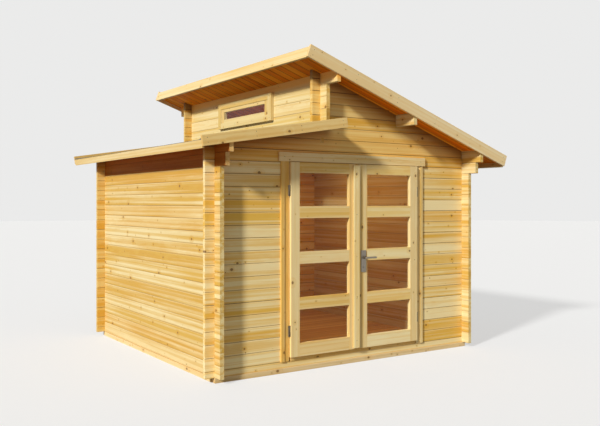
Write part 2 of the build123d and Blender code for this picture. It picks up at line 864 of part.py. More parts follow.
with BuildPart() as window_sash:
    window_ring(sash_x, sash_half_y, sash_half_z, sash_side, sash_rail)
    half = glass_thickness / 2 + glass_play
    bar((pane_x - half, pane_x + half), (-pane_half_y - glass_play, pane_half_y + glass_play),
        (window_z - pane_half_z - glass_play, window_z + pane_half_z + glass_play), mode=Mode.SUBTRACT)

with BuildPart() as window_glass:
    bar((pane_x - glass_thickness / 2, pane_x + glass_thickness / 2), (-pane_half_y, pane_half_y),
        (window_z - pane_half_z, window_z + pane_half_z))

pieces = {
    "base_beams": base_beams,
    "floor_joists": floor_joists,
    "floor_boards": floor_boards,
    "front_sill_log": front_sill_log,
    "front_wall_left": front_wall_left,
    "front_wall_right": front_wall_right,
    "front_gable_lower": front_gable_lower,
    "front_gable_upper": front_gable_upper,
    "back_wall": back_wall,
    "back_gable_upper": back_gable_upper,
    "left_wall": left_wall,
    "left_wall_top_logs": left_wall_top_logs,
    "right_wall": right_wall,
    "right_wall_top_logs": right_wall_top_logs,
    "tall_wall_lower": tall_wall_lower,
    "tall_wall_sides": tall_wall_sides,
    "tall_wall_top_log": tall_wall_top_log,
    "middle_purlin": middle_purlin,
    "lower_roof_ledger": lower_roof_ledger,
    "upper_roof_deck": upper_roof_deck,
    "lower_roof_deck": lower_roof_deck,
    "upper_roof_felt": upper_roof_felt,
    "lower_roof_felt": lower_roof_felt,
    "upper_verge_boards": upper_verge_boards,
    "lower_verge_boards": lower_verge_boards,
    "fascia_boards": fascia_boards,
    "door_frame": door_frame,
    "door_head_board": door_head_board,
    "left_leaf_stiles": left_leaf_stiles,
    "left_leaf_rails": left_leaf_rails,
    "left_leaf_glass": left_leaf_glass,
    "left_leaf_cover_strip": left_leaf_cover_strip,
    "left_leaf_hinges": left_leaf_hinges,
    "right_leaf_stiles": right_leaf_stiles,
    "right_leaf_rails": right_leaf_rails,
    "right_leaf_glass": right_leaf_glass,
    "right_leaf_hinges": right_leaf_hinges,
    "frame_hinges": frame_hinges,
    "handle_plates": handle_plates,
    "lever_handle": lever_handle,
    "lock_cylinder": lock_cylinder,
    "window_casing": window_casing,
    "window_sash": window_sash,
    "window_glass": window_glass,
}

os.makedirs("parts", exist_ok=True)
for name, piece in pieces.items():
    piece.part.label = name
    export_step(piece.part, f"parts/{name}.step")
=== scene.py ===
"""Looks of the log cabin: pine logs and joinery, boarded roofs and floor, felt, glass and metal."""

import math
import random

import bmesh
import bpy
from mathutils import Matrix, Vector


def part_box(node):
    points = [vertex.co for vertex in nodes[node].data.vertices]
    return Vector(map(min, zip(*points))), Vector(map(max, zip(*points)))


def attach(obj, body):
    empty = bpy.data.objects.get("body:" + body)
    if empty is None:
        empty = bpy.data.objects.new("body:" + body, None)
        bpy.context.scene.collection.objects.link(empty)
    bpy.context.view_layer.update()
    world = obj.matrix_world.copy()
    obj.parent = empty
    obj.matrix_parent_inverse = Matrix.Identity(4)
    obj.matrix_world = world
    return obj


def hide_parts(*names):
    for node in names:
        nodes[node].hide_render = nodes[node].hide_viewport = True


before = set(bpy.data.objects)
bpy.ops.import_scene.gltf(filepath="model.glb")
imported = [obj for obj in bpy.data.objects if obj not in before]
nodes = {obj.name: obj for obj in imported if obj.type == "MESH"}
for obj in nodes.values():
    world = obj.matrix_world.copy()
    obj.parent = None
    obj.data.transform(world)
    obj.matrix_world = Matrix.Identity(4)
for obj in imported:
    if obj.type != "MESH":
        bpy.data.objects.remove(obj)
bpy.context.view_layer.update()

X = Vector((1, 0, 0))
Y = Vector((0, 1, 0))
Z = Vector((0, 0, 1))
MM = 0.001

# Logs and boards, in metres: a course of logs, width and bevel of the boards, and the gaps between them
COURSE = 0.114
BASE_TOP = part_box("left_wall")[0].z
ROOF_BOARD = 0.113
ROOF_BOARD_BEVEL = 0.0035
FLOOR_BOARD = 0.110
FLOOR_BOARD_BEVEL = 0.0016
HALF_GAP = 0.0003

# Most that a roof board's end lies off the line, and the low roof's returns: their narrowest board, and
# how far before the end of the verge boards they stop
BOARD_SLIP = 0.0015
LEAST_BOARD = 0.01
RETURN_SET_BACK = 0.009

# Felt: strips, their laps and how much of its lift a strip keeps past the lap, and waves across them
FELT_THICKNESS = 0.0026
FELT_STRIP = 0.92
FELT_LAP = 0.08
LAP_SAG = 0.4
FELT_WAVE = 0.0008
FELT_WAVE_PITCH = 0.11
FELT_SEED = 3
FELT_SEED_STEP = 7

# Edges of the felt turned up over the verge boards: width of the top, where the slope ends, and height
UPSTAND_TOP = 0.012
UPSTAND_FOOT = 0.045
HIGH_UPSTAND = 0.018
LOW_UPSTAND = 0.008

# Door frame: widths of the jambs and of the head and sill across them, how far their middles lie from
# the outside, and how far the jambs reach into the doorway
JAMB_WIDTH = 0.075
JAMB_MIDDLE = 0.045
JAMB_REACH = 0.006
CROSS_WIDTH = 0.050
CROSS_MIDDLE = 0.020
HEAD_BOARD_WIDTH = 0.085

# Leaves: the rails from the foot up, and how much less the stiles' middles are apart than a leaf is wide
RAIL_WIDTH = 0.110
RAIL_PITCH = 0.421
FIRST_RAIL = 0.067
STILE_WIDTH = 0.096
STILE_MIDDLE = 0.050
STILE_INSETS = 0.105
COVER_STRIP_WIDTH = 0.076

# Window, fascias and base: width of each kind of member, and the low fascia's middle below the roof
# boards' lowest edge
CASING_WIDTH = 0.065
SASH_WIDTH = 0.069
FASCIA_WIDTH = 0.10
FASCIA_DROP = 0.025
BEAM_WIDTH = 0.06

# Fasteners: spacing and inset of each run, and radius of each kind of head
VERGE_NAILS = (0.48, 0.05)
VERGE_NAIL_ROWS = (0.28, 0.72)
HEAD_BOARD_SCREWS = (0.42, 0.06)
CASING_SCREWS = (0.36, 0.032)
CLOUT_NAILS = (0.12, 0.08)
CLOUT_FROM_EDGE = 0.03
CLOUT_RISE = 0.0032
STRIP_SCREWS = (0.42, 0.07)
PLATE_SCREW_INSET = 0.014
TRIM_HEAD = 0.0034
CLOUT_HEAD = 0.0048
PLATE_HEAD = 0.0036
HEAD_SIDES = 10
HEAD_RINGS = ((1.0, -0.0006), (1.0, 0.00004), (0.72, 0.0001))

# Softened edges
SOFT_EDGE = 0.0018
SOFT_STEPS = 2
WELD_REACH = 0.00002
FLAT_ANGLE = math.radians(1)
SHARP_ANGLE = math.radians(40)
SOFT_NODES = ("upper_verge_boards", "lower_verge_boards", "fascia_boards", "door_head_board",
              "window_casing", "window_sash", "left_leaf_stiles", "left_leaf_rails", "right_leaf_stiles",
              "right_leaf_rails", "left_leaf_cover_strip", "door_frame", "base_beams")

# Wood colours, linear, each as pale and deep. The sides get more of the light, so theirs are lower
SIDE_LOGS = ((0.75, 0.62, 0.33), (0.59, 0.36, 0.07))
FRONT_LOGS = ((0.99, 0.815, 0.43), (0.845, 0.51, 0.085))
# The gable's are more golden than the front's: painted warm light bounced from the roofs
GABLE_LOGS_PAINTED_BOUNCE = ((0.96, 0.71, 0.27), (0.83, 0.46, 0.065))
BACK_LOGS = ((0.84, 0.63, 0.24), (0.73, 0.41, 0.058))
# The top logs under the low eave: dark red-brown, painted shade
EAVE_LOGS_PAINTED_SHADE = ((0.44, 0.16, 0.025), (0.32, 0.095, 0.010))
TALL_LOGS = ((0.78, 0.65, 0.345), (0.69, 0.485, 0.15))
JOINERY = ((0.94, 0.74, 0.37), (0.82, 0.52, 0.13))
PALE_JOINERY = ((1.0, 0.84, 0.47), (0.93, 0.68, 0.25))
CASING = ((0.72, 0.575, 0.27), (0.64, 0.43, 0.12))
HIGH_VERGE = ((1.0, 0.84, 0.53), (0.92, 0.68, 0.33))
LOW_VERGE = ((0.91, 0.67, 0.28), (0.81, 0.52, 0.155))
FASCIA = ((0.80, 0.64, 0.35), (0.68, 0.47, 0.165))
# Roof boards, deep orange: painted warm shade, since their undersides are seen only in shade; the boards
# alternate between the two
SOFFIT_PAINTED_SHADE = ((1.0, 0.38, 0.026), (0.92, 0.275, 0.012))
DARK_SOFFIT_PAINTED_SHADE = ((0.93, 0.29, 0.014), (0.74, 0.185, 0.007))
FLOOR_BOARDS = ((0.72, 0.46, 0.12), (0.54, 0.29, 0.056))
BASE = ((0.90, 0.72, 0.42), (0.76, 0.54, 0.24))
KNOT = (0.19, 0.075, 0.012)
JOINT_SHADE = (0.22, 0.10, 0.022)

# Tints, which multiply a colour: of wood as such, of end grain, and painted light and shade for places
# that get other light
WARM = (0.93, 0.80, 0.60)
HONEY = (1.0, 0.88, 0.70)
END_TINT = (0.82, 0.78, 0.72)
# Each wall's end tint is end grain set to the light the log ends get, since the walls' colours are set to
# the light on their faces: lighter on the side and tall walls' ends, painted light; darker on the flush
# ends under the low roof, painted shade; and on the eave logs' ends the painted shade is taken off again
FRONT_END_TINT = (0.86, 0.88, 0.95)
SIDE_END_TINT = (1.16, 1.18, 1.16)
TALL_END_TINT = (1.2, 1.06, 0.74)
FLUSH_END_PAINTED_SHADE = (0.85, 0.70, 0.42)
EAVE_END_SHADE_UNDONE = (2.0, 3.7, 10.0)
# The cover strip's side that faces the lamp, darkened: painted shade
STRIP_LIT_SIDE_SHADE = (0.62, 0.56, 0.40)
# Painted shade close under the roofs, and painted warm bounce light under the high roof
ROOF_PAINTED_SHADE = (0.34, 0.25, 0.16)
ROOF_PAINTED_BOUNCE = (1.25, 0.83, 0.38)

# Painted shade and painted warm bounce light under a roof: its layer, the distances from the layer where
# they are full and gone, and the tint
SHADE_UNDER_LOW = ("lower_roof_deck", 0.0, 0.26, ROOF_PAINTED_SHADE)
SHADE_UNDER_HIGH = ("upper_roof_deck", 0.0, 0.26, ROOF_PAINTED_SHADE)
BOUNCE_UNDER_HIGH = ("upper_roof_deck", 0.04, 0.15, ROOF_PAINTED_BOUNCE)
PAINTED_LIGHT_UNDER_ROOFS = {
    "front_gable_lower": (SHADE_UNDER_LOW, SHADE_UNDER_HIGH),
    "front_gable_upper": (SHADE_UNDER_HIGH,),
    "front_wall_right": (SHADE_UNDER_HIGH,),
    "back_wall": (SHADE_UNDER_LOW, SHADE_UNDER_HIGH),
    "back_gable_upper": (SHADE_UNDER_HIGH,),
    "tall_wall_top_log": (BOUNCE_UNDER_HIGH,),
}

# How far past the roof's right end they start to fade and are gone
PAST_ROOF = (0.06, 0.18)

# Gloss of planed wood, of the sheltered logs under the low roof and of the roof boards
WOOD_GLOSS = 0.22
EAVE_GLOSS = 0.05
SOFFIT_GLOSS = 0.04


class Tree:
    """Adds shader nodes to a tree and joins them. A value is a socket, a number or a colour."""

    # Places of the Mix node's sockets, which share their names: factor, A and B, and the result
    COLOUR_MIX = ((0, 6, 7), 2)
    NUMBER_MIX = ((0, 2, 3), 0)

    # Where most values of a noise lie
    NOISE_SPAN = (0.3, 0.7)

    def __init__(self, tree):
        self.tree = tree

    def node(self, kind, **settings):
        made = self.tree.nodes.new(kind)
        for name, value in settings.items():
            setattr(made, name, value)
        return made

    def feed(self, socket, value):
        if isinstance(value, bpy.types.NodeSocket):
            self.tree.links.new(value, socket)
        elif socket.type == "RGBA" and len(value) == 3:
            socket.default_value = (*value, 1)
        else:
            socket.default_value = value

    def maths(self, operation, *values, clamp=False):
        made = self.node("ShaderNodeMath", operation=operation, use_clamp=clamp)
        for socket, value in zip(made.inputs, values):
            self.feed(socket, value)
        return made.outputs[0]

    def plus(self, a, b, clamp=False):
        return self.maths("ADD", a, b, clamp=clamp)

    def minus(self, a, b):
        return self.maths("SUBTRACT", a, b)

    def times(self, a, b, clamp=False):
        return self.maths("MULTIPLY", a, b, clamp=clamp)

    def centred(self, value, reach):
        """Turn 0 to 1 into half the reach either way from 0."""
        return self.times(self.minus(value, 0.5), reach)

    def distance(self, a, b):
        """Straight distance to a place that lies a off one way and b off square to it."""
        return self.maths("SQRT", self.plus(self.maths("POWER", a, 2.0), self.maths("POWER", b, 2.0)))

    def dot(self, vector, axis):
        made = self.node("ShaderNodeVectorMath", operation="DOT_PRODUCT")
        self.feed(made.inputs[0], vector)
        self.feed(made.inputs[1], tuple(axis))
        return made.outputs["Value"]

    def join(self, x, y, z):
        made = self.node("ShaderNodeCombineXYZ")
        for socket, value in zip(made.inputs, (x, y, z)):
            self.feed(socket, value)
        return made.outputs[0]

    def split(self, colour):
        made = self.node("ShaderNodeSeparateColor")
        self.feed(made.inputs[0], colour)
        return made.outputs

    def random(self, value):
        """Three numbers from 0 to 1 that hold for one value."""
        made = self.node("ShaderNodeTexWhiteNoise", noise_dimensions="1D")
        self.feed(made.inputs["W"], value)
        return self.split(made.outputs["Color"])

    def noise(self, vector, scale=1.0, detail=2.0, roughness=0.5):
        made = self.node("ShaderNodeTexNoise", noise_dimensions="3D")
        self.feed(made.inputs["Vector"], vector)
        made.inputs["Scale"].default_value = scale
        made.inputs["Detail"].default_value = detail
        made.inputs["Roughness"].default_value = roughness
        return made.outputs[0]

    def step(self, value, low, high, out_low=0.0, out_high=1.0):
        """Smooth change from one value to another as the input goes from low to high."""
        made = self.node("ShaderNodeMapRange", interpolation_type="SMOOTHSTEP")
        for name, given in (("Value", value), ("From Min", low), ("From Max", high),
                            ("To Min", out_low), ("To Max", out_high)):
            self.feed(made.inputs[name], given)
        return made.outputs["Result"]

    def level(self, noise, out_low=0.0, out_high=1.0):
        """Noise spread out to run from one value to another."""
        return self.step(noise, *self.NOISE_SPAN, out_low, out_high)

    def blend(self, sockets, factor, a, b, **settings):
        """Mix of a and b, by the places of its sockets."""
        inputs, output = sockets
        made = self.node("ShaderNodeMix", **settings)
        for place, value in zip(inputs, (factor, a, b)):
            self.feed(made.inputs[place], value)
        return made.outputs[output]

    def choose(self, factor, a, b):
        """Number a where the factor is 0 and b where it is 1."""
        return self.blend(self.NUMBER_MIX, factor, a, b, data_type="FLOAT")

    def mix(self, factor, a, b, blend="MIX"):
        """Colour a where the factor is 0 and b where it is 1."""
        return self.blend(self.COLOUR_MIX, factor, a, b, data_type="RGBA", blend_type=blend)

    def tinted(self, factor, colour, tint):
        """Colour as it is where the factor is 0, and multiplied by the tint where it is 1."""
        return self.mix(factor, colour, self.mix(1.0, colour, tint, "MULTIPLY"))

    def bump(self, height, depth, strength=1.0):
        made = self.node("ShaderNodeBump")
        made.inputs["Strength"].default_value = strength
        made.inputs["Distance"].default_value = depth
        self.feed(made.inputs["Height"], height)
        return made.outputs["Normal"]


def new_material(name):
    """Material with one Principled shader, and the helper that adds to it."""
    material = bpy.data.materials.new(name)
    material.use_nodes = True
    shader = material.node_tree.nodes["Principled BSDF"]
    return material, Tree(material.node_tree), shader


def dress(material, *names):
    """Give CAD nodes one material."""
    for name in names:
        mesh = nodes[name].data
        mesh.materials.clear()
        mesh.materials.append(material)


# Wood: a solid texture with growth rings about a pith outside the piece, so faces and ends agree

# Knots: length of the stretches that may hold one, least and greatest radius, share that holds one
LARGE_KNOTS = (0.52, 0.0050, 0.0130, 0.42)
PIN_KNOTS = (0.27, 0.0020, 0.0045, 0.40)
PIN_SHIFT = 17.3
SHARE_EDGE = 0.02

# Their spread over a piece's width and along a stretch, how they are drawn out along the grain, how fine
# their uneven edge is, and the part of the least radius from which one shows
KNOT_SPREAD = 0.85
KNOT_PLACE_LUCK = 0.9
KNOT_DRAWN_OUT = 0.8
KNOT_EDGE_FINE = 90
KNOT_THERE = (0.5, 0.9)

# Where a knot, and the wood that bends around it, start to fade and are gone, in radii
KNOT_RIM = (0.75, 1.15)
HALO_RIM = (0.9, 4.5)

# Growth rings: how far a piece's wood is shifted along at most, how the pith wanders and how deep it
# lies, what bends the rings, their width, and where in each ring the late wood comes and goes
LOG_SHIFT = 41.0
PITH_SWAY = 0.075
PITH_SPREAD = 0.07
PITH_NEAR = 0.028
PITH_RANGE = 0.06
RING_FLUTTER = 0.006
KNOT_PUSH = 0.008
THIN_RING = 0.0042
THICK_RING = 0.0085
LATE_WOOD_COMES = (0.35, 0.85)
LATE_WOOD_GOES = (0.90, 1.0)

# Noises drawn out along the grain: how fine along, across and into the wood, then detail and roughness
FLUTTER = ((5.0, 30.0, 30.0), 2, 0.5)
STREAK = ((0.28, 27.0, 20.0), 3, 0.55)
LINE = ((0.9, 110.0, 90.0), 3, 0.6)
FIBRE = ((9.0, 420.0, 420.0), 3, 0.6)

# Softer noises, each with the piece's luck in place of the depth: how fine they are, and their detail
WANDER_ALONG = 0.9
WANDER_ROW = 3.0
PATCH_ALONG = 0.8
PATCH_ACROSS = 6.0
SOFT_DETAIL = 2

# How much each thing takes a place from the pale colour, 0, to the deep one, 1
PIECE_TONE = 0.72
STREAK_TONE = (0.33, 0.67, -0.42, 0.50)
LINE_TONE = (-0.14, 0.16)
PATCH_TONE = (-0.14, 0.24)
HALO_TONE = 0.22

# How much some pieces turn to honey, and late wood, fibres and knots to their own colours
HONEY_SHARE = (0.55, 1.0, 0.0, 0.5)
RING_ON_FACE = 0.42
RING_ON_END = 0.75
FIBRE_SHARE = (0.35, 0.75, 0.0, 0.22)
HALO_SHARE = 0.28
KNOT_SHARE = 0.80

# The joint between logs: a dark seam, wider at a log's foot than at its top, the extra width painted shade
# of the chamfer that faces down, and a painted highlight along its top, where the chamfer faces up
SEAM_START = 0.001
SEAM_AT_TOP = 0.003
SEAM_AT_FOOT = 0.0085
SEAM_SHARE_AT_TOP = 0.45
SEAM_SHARE_AT_FOOT = (0.75, 1.35)
SEAM_SHARE_ON_END = 0.45
SEAM_PATCHES = (0.75, 1.05)
TOP_EDGE_HIGHLIGHT = (0.004, 0.013, 0.4, 0.0)

# Surface of the wood
WOOD_ROUGHNESS = (0.52, 0.64)
KNOT_POLISH = 0.14
RING_HEIGHT = 0.35
FIBRE_HEIGHT = 0.65
KNOT_HEIGHT = 0.5
WOOD_BUMP_DEPTH = 0.0006
WOOD_BUMP_STRENGTH = 0.35

# How squarely a face looks along a direction where it starts to count as such a face, and where it does
FACES = (0.7, 0.8)

# Steps between the numbers that give each piece its luck, and a pitch past the end of every piece
PIECE_STEP = 1.31
SIDE_STEP = 0.53
LUCK_STEP = 0.37
NO_REPEAT = 100.0


def knot_layer(t, along, across, width, kind):
    """One knot at most in each stretch of a piece. Returns the knot and the disturbed wood around it."""
    stretch, small, large, share = kind
    cells = t.node("ShaderNodeTexVoronoi", voronoi_dimensions="1D", feature="F1")
    t.feed(cells.inputs["W"], t.maths("DIVIDE", along, stretch))
    cells.inputs["Scale"].default_value = 1
    cells.inputs["Randomness"].default_value = KNOT_PLACE_LUCK
    where, chance, extent = t.split(cells.outputs["Color"])[:3]
    middle = t.centred(where, t.times(width, KNOT_SPREAD))
    from_along = t.times(cells.outputs["Distance"], stretch * KNOT_DRAWN_OUT)
    uneven = t.centred(t.noise(t.join(along, across, 0.0), KNOT_EDGE_FINE, 1), small)
    away = t.plus(t.distance(from_along, t.minus(across, middle)), uneven)
    size = t.step(extent, 0.0, 1.0, small, large)
    size = t.times(size, t.step(chance, share, share + SHARE_EDGE, 1.0, 0.0))
    there = t.step(size, *(small * part for part in KNOT_THERE))
    knot, halo = (t.times(t.step(away, t.times(size, inner), t.times(size, outer), 1.0, 0.0), there)
                  for inner, outer in (KNOT_RIM, HALO_RIM))
    return knot, halo


def grain_noise(t, place, kind):
    """Noise drawn out along the grain."""
    fine, detail, roughness = kind
    drawn_out = [t.times(value, times) for value, times in zip(place, fine)]
    return t.noise(t.join(*drawn_out), 1.0, detail, roughness)


def late_wood(t, place, halo, luck, year_luck):
    """1 in the dark part of each growth ring and 0 between them."""
    along, across, depth = place
    wander = t.noise(t.join(t.times(along, WANDER_ALONG), WANDER_ROW, luck[1]), 1.0, SOFT_DETAIL)
    pith = t.centred(luck[1], PITH_SPREAD)
    from_pith = t.plus(t.plus(across, pith), t.centred(wander, PITH_SWAY))
    into_wood = t.plus(depth, t.plus(PITH_NEAR, t.times(luck[2], PITH_RANGE)))
    radius = t.distance(from_pith, into_wood)
    radius = t.plus(radius, t.centred(grain_noise(t, place, FLUTTER), RING_FLUTTER))
    radius = t.plus(radius, t.times(halo, KNOT_PUSH))
    phase = t.maths("FRACT", t.maths("DIVIDE", radius, t.choose(year_luck, THIN_RING, THICK_RING)))
    return t.times(t.step(phase, *LATE_WOOD_COMES), t.step(phase, *LATE_WOOD_GOES, 1.0, 0.0))


def log_joint(t, given, luck, patch):
    """How much the dark seam, partly painted shade, and the painted highlight along a log's top show at a
    place.
    """
    across = given["Across"]
    edge = t.minus(t.times(given["Width"], 0.5), t.maths("ABSOLUTE", across))
    lower = t.maths("LESS_THAN", across, 0.0)
    share = t.choose(lower, SEAM_SHARE_AT_TOP, t.step(luck[0], 0.0, 1.0, *SEAM_SHARE_AT_FOOT))
    share = t.times(share, t.choose(given["End"], 1.0, SEAM_SHARE_ON_END))
    share = t.times(t.times(share, given["Joint"]), t.level(patch, *SEAM_PATCHES), clamp=True)
    seam = t.step(edge, SEAM_START, t.choose(lower, SEAM_AT_TOP, SEAM_AT_FOOT), 1.0, 0.0)
    top_highlight = t.times(t.step(edge, *TOP_EDGE_HIGHLIGHT), t.choose(lower, given["Joint"], 0.0))
    return t.times(seam, share), top_highlight


def wood_group():
    """Node group for planed softwood. Lengths are in metres, across counted from the piece's middle."""
    group = bpy.data.node_groups.new("softwood", "ShaderNodeTree")
    for kind, way, names in (
            ("NodeSocketFloat", "INPUT", ("Along", "Across", "Depth", "Piece", "Width", "End", "Joint")),
            ("NodeSocketColor", "INPUT", ("Pale", "Deep", "End Tint")),
            ("NodeSocketColor", "OUTPUT", ("Color",)),
            ("NodeSocketFloat", "OUTPUT", ("Roughness", "Height"))):
        for name in names:
            group.interface.new_socket(name, in_out=way, socket_type=kind)
    t = Tree(group)
    given = t.node("NodeGroupInput").outputs
    out = t.node("NodeGroupOutput").inputs

    luck = t.random(given["Piece"])
    more_luck = t.random(t.plus(given["Piece"], LUCK_STEP))
    along = t.plus(given["Along"], t.times(luck[0], LOG_SHIFT))
    across = given["Across"]
    place = (along, across, given["Depth"])

    large_knot, large_halo = knot_layer(t, along, across, given["Width"], LARGE_KNOTS)
    pin_knot, pin_halo = knot_layer(t, t.plus(along, PIN_SHIFT), across, given["Width"], PIN_KNOTS)
    knot = t.maths("MAXIMUM", large_knot, pin_knot)
    halo = t.maths("MAXIMUM", large_halo, pin_halo)
    late = late_wood(t, place, halo, luck, more_luck[0])
    streak, line, fibre = (grain_noise(t, place, kind) for kind in (STREAK, LINE, FIBRE))
    patch = t.join(t.times(along, PATCH_ALONG), t.times(across, PATCH_ACROSS), luck[1])
    patch = t.noise(patch, 1.0, SOFT_DETAIL)

    tone = t.plus(t.times(more_luck[1], PIECE_TONE), t.step(streak, *STREAK_TONE))
    tone = t.plus(tone, t.level(line, *LINE_TONE))
    tone = t.plus(tone, t.level(patch, *PATCH_TONE))
    tone = t.plus(tone, t.times(halo, HALO_TONE), clamp=True)
    colour = t.mix(tone, given["Pale"], given["Deep"])
    colour = t.tinted(t.step(more_luck[2], *HONEY_SHARE), colour, HONEY)
    warm = t.mix(1.0, colour, WARM, "MULTIPLY")
    colour = t.mix(t.times(late, t.choose(given["End"], RING_ON_FACE, RING_ON_END)), colour, warm)
    colour = t.mix(t.step(fibre, *FIBRE_SHARE), colour, warm)
    colour = t.mix(t.times(halo, HALO_SHARE), colour, warm)
    colour = t.mix(t.times(knot, KNOT_SHARE), colour, KNOT)
    seam, top_highlight = log_joint(t, given, luck, patch)
    colour = t.mix(top_highlight, colour, given["Pale"])
    colour = t.tinted(given["End"], colour, given["End Tint"])
    t.feed(out["Color"], t.mix(seam, colour, JOINT_SHADE))

    roughness = t.level(fibre, *WOOD_ROUGHNESS)
    t.feed(out["Roughness"], t.minus(roughness, t.times(knot, KNOT_POLISH)))
    height = t.plus(t.times(late, RING_HEIGHT), t.times(fibre, FIBRE_HEIGHT))
    t.feed(out["Height"], t.plus(height, t.times(knot, KNOT_HEIGHT)))
    return group


softwood = wood_group()


class Lay:
    """How grain lies: the way it runs, the way the width goes, and how pieces repeat across."""

    def __init__(self, along, across, first=0.0, pitch=NO_REPEAT, width=COURSE):
        self.along = along
        self.across = across
        self.depth = along.cross(across)
        self.first = first
        self.pitch = pitch
        self.width = width

    def values(self, t, place, normal):
        """Along, across, depth, piece number, width, and how squarely a face looks along the grain."""
        across = t.dot(place, self.across)
        piece = t.maths("ROUND", t.maths("DIVIDE", t.minus(across, self.first), self.pitch))
        middle = t.maths("MULTIPLY_ADD", piece, self.pitch, self.first)
        return [t.dot(place, self.along), t.minus(across, middle), t.dot(place, self.depth), piece,
                self.width, t.maths("ABSOLUTE", t.dot(normal, self.along))]


def paint_light_under_roof(t, place, colour, roof, full, gone, tint):
    """Painted shade or painted bounce light, by the tint given, close under a roof: fully at one distance
    from its underside, not at all at the other.

    The tint fades out past the right end of that roof.
    """
    square = slope_of(roof)[1]
    away = t.minus(roof_outline(roof)[0].dot(square), t.dot(place, square))
    close = t.maths("POWER", t.step(away, full, gone, 1.0, 0.0), 2.0)
    fade_start, fade_end = (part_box(roof)[1].x + past for past in PAST_ROOF)
    close = t.times(close, t.step(t.dot(place, X), fade_start, fade_end, 1.0, 0.0))
    return t.tinted(close, colour, tint)


def wood(name, lay, seed, tones, joint=0.0, other=None, where=None, sides=None, gloss=WOOD_GLOSS,
         end_tint=END_TINT, under=(), facing=None):
    """Softwood finish in a pale and a deep tone. Joint says how dark the seams between its pieces are, and
    how strong the painted highlight along their tops.

    Where gives an axis, a middle and a distance past which the other lay holds. Sides gives an axis and a
    place on it: past it the pieces are others than before it. Under gives roofs, each with two distances
    and a tint of painted shade or painted bounce light for the wood close under it. Facing gives a
    direction and a tint of painted shade for the faces that look that way.
    """
    material, t, shader = new_material(name)
    coordinates = t.node("ShaderNodeTexCoord").outputs
    place, normal = coordinates["Object"], coordinates["Normal"]
    values = lay.values(t, place, normal)
    if other:
        axis, middle, limit = where
        beyond = t.maths("ABSOLUTE", t.minus(t.dot(place, axis), middle))
        mask = t.maths("GREATER_THAN", beyond, limit)
        values = [t.choose(mask, a, b) for a, b in zip(values, other.values(t, place, normal))]
    along, across, depth, piece, width, ends = values
    piece = t.plus(t.times(piece, PIECE_STEP), seed)
    if sides:
        axis, edge = sides
        past = t.maths("GREATER_THAN", t.dot(place, axis), edge)
        piece = t.maths("MULTIPLY_ADD", past, SIDE_STEP, piece)
    pale, deep = tones
    grain = t.node("ShaderNodeGroup", node_tree=softwood)
    for socket, value in (("Along", along), ("Across", across), ("Depth", depth), ("Piece", piece),
                          ("Width", width), ("End", t.step(ends, *FACES)), ("Joint", joint),
                          ("Pale", pale), ("Deep", deep), ("End Tint", end_tint)):
        t.feed(grain.inputs[socket], value)
    colour = grain.outputs["Color"]
    for roof, full, gone, tint in under:
        colour = paint_light_under_roof(t, place, colour, roof, full, gone, tint)
    if facing:
        way, tint = facing
        colour = t.tinted(t.step(t.dot(normal, way), *FACES), colour, tint)
    t.feed(shader.inputs["Base Color"], colour)
    t.feed(shader.inputs["Roughness"], grain.outputs["Roughness"])
    t.feed(shader.inputs["Normal"], t.bump(grain.outputs["Height"], WOOD_BUMP_DEPTH, WOOD_BUMP_STRENGTH))
    shader.inputs["Specular IOR Level"].default_value = gloss
    return material


# Walls

FRONT_LAY = Lay(X, Z, BASE_TOP, COURSE)
SIDE_LAY = Lay(Y, Z, BASE_TOP + COURSE / 2, COURSE)


def dress_walls():
    """Logs of every wall. Each node has a seed, and nodes that share logs share it."""
    front = (("front_sill_log", 3.1), ("front_wall_left", 5.7), ("front_wall_right", 11.9))
    gable = (("front_gable_lower", 23.3), ("front_gable_upper", 23.3))
    back = (("back_wall", 31.7), ("back_gable_upper", 31.7))
    side = (("left_wall", 47.9), ("right_wall", 61.3), ("right_wall_top_logs", 61.3),
            ("middle_purlin", 89.5), ("lower_roof_ledger", 97.7))
    # The left wall's top logs, under the low eave, get dark colours of painted shade
    eave = (("left_wall_top_logs", 47.9),)
    tall = (("tall_wall_sides", 73.1), ("tall_wall_top_log", 73.1))
    # The tall wall's flush ends, in shade under the low roof, are darkened: painted shade
    flush = (("tall_wall_lower", 73.1),)
    for lay, group, tones, joint, end_tint, gloss in (
            (FRONT_LAY, front, FRONT_LOGS, 0.85, FRONT_END_TINT, WOOD_GLOSS),
            (FRONT_LAY, gable, GABLE_LOGS_PAINTED_BOUNCE, 0.80, FRONT_END_TINT, WOOD_GLOSS),
            (FRONT_LAY, back, BACK_LOGS, 0.85, FRONT_END_TINT, WOOD_GLOSS),
            (SIDE_LAY, side, SIDE_LOGS, 0.52, SIDE_END_TINT, WOOD_GLOSS),
            (SIDE_LAY, tall, TALL_LOGS, 0.36, TALL_END_TINT, WOOD_GLOSS),
            (SIDE_LAY, flush, TALL_LOGS, 0.36, FLUSH_END_PAINTED_SHADE, WOOD_GLOSS),
            (SIDE_LAY, eave, EAVE_LOGS_PAINTED_SHADE, 0.52, EAVE_END_SHADE_UNDONE, EAVE_GLOSS)):
        for name, seed in group:
            dress(wood(name, lay, seed, tones, joint=joint, end_tint=end_tint, gloss=gloss,
                       under=PAINTED_LIGHT_UNDER_ROOFS.get(name, ())), name)


# Joinery: door frame, leaves and window

def middle_of(name, axis):
    low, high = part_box(name)
    return (low + high).dot(axis) / 2


def size_of(name, axis):
    low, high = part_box(name)
    return (high - low).dot(axis)


